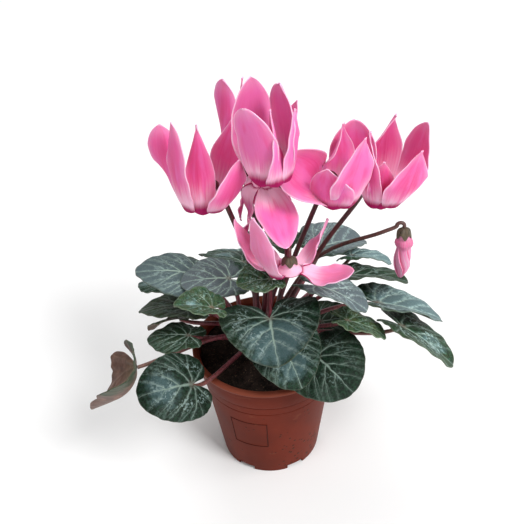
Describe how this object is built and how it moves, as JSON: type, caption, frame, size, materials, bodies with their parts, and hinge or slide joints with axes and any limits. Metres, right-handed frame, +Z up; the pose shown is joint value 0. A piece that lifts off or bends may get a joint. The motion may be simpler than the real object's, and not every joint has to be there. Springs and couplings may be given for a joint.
{
  "type": "potted cyclamen",
  "caption": "Flowering cyclamen with marbled heart-shaped leaves and upswept pink petals on slim hooked stalks, growing from a tuber in a tapered plastic nursery pot filled with soil.",
  "frame": {"origin": "centre of the pot's flat base, on the ground", "axes": "+Z up; -Y towards the plant's front; +X to its right, seen from the front"},
  "size_m": [0.2409, 0.1971, 0.3002],
  "materials": {
    "pot": "terracotta brown injection-moulded plastic, satin",
    "soil": "dark peat, rough",
    "tuber": "corky brown skin, rough",
    "leaf": "dark green, waxy satin",
    "leaf_silver": "silver-marbled green, waxy satin",
    "leaf_underside": "red-brown underside, satin",
    "leaf_stalk": "purple-red, smooth",
    "flower_stalk": "dark maroon, smooth",
    "bud_stalk": "red-brown, smooth",
    "petal": "pink, soft satin",
    "petal_pale": "pale pink, soft satin",
    "calyx": "olive brown, matt"
  },
  "bodies": {
    "root": {"bud": "petal", "bud_calyx": "calyx", "bud_stalk": "bud_stalk", "flower_back_calyx": "calyx", "flower_back_corolla": "petal", "flower_back_stalk": "flower_stalk", "flower_front_low_calyx": "calyx", "flower_front_low_corolla": "petal_pale", "flower_front_low_stalk": "flower_stalk", "flower_left_calyx": "calyx", "flower_left_corolla": "petal", "flower_left_stalk": "flower_stalk", "flower_middle_calyx": "calyx", "flower_middle_corolla": "petal", "flower_middle_stalk": "flower_stalk", "flower_right_calyx": "calyx", "flower_right_corolla": "petal", "flower_right_inner_calyx": "calyx", "flower_right_inner_corolla": "petal", "flower_right_inner_stalk": "flower_stalk", "flower_right_stalk": "flower_stalk", "flower_top_calyx": "calyx", "flower_top_corolla": "petal", "flower_top_stalk": "flower_stalk", "leaf_back": "leaf", "leaf_back_left": "leaf", "leaf_back_left_low": "leaf", "leaf_back_low": "leaf", "leaf_back_right": "leaf_silver", "leaf_centre_small": "leaf", "leaf_far_left": "leaf_underside", "leaf_front": "leaf", "leaf_front_left": "leaf", "leaf_front_lower": "leaf", "leaf_front_right": "leaf", "leaf_left_inner": "leaf_silver", "leaf_left_lower": "leaf", "leaf_left_middle": "leaf", "leaf_left_olive": "leaf", "leaf_left_small": "leaf", "leaf_left_upper": "leaf_silver", "leaf_right_back": "leaf_silver", "leaf_right_far": "leaf_silver", "leaf_right_inner": "leaf_silver", "leaf_right_low": "leaf", "leaf_right_small": "leaf", "leaf_right_under": "leaf", "leaf_right_upper": "leaf", "leaf_stalks_back": "leaf_stalk", "leaf_stalks_back_left": "leaf_stalk", "leaf_stalks_back_right": "leaf_stalk", "leaf_stalks_front": "leaf_stalk", "leaf_stalks_front_left": "leaf_stalk", "leaf_stalks_front_right": "leaf_stalk", "pot": "pot", "soil": "soil", "tuber": "tuber"}
  },
  "joints": []
}
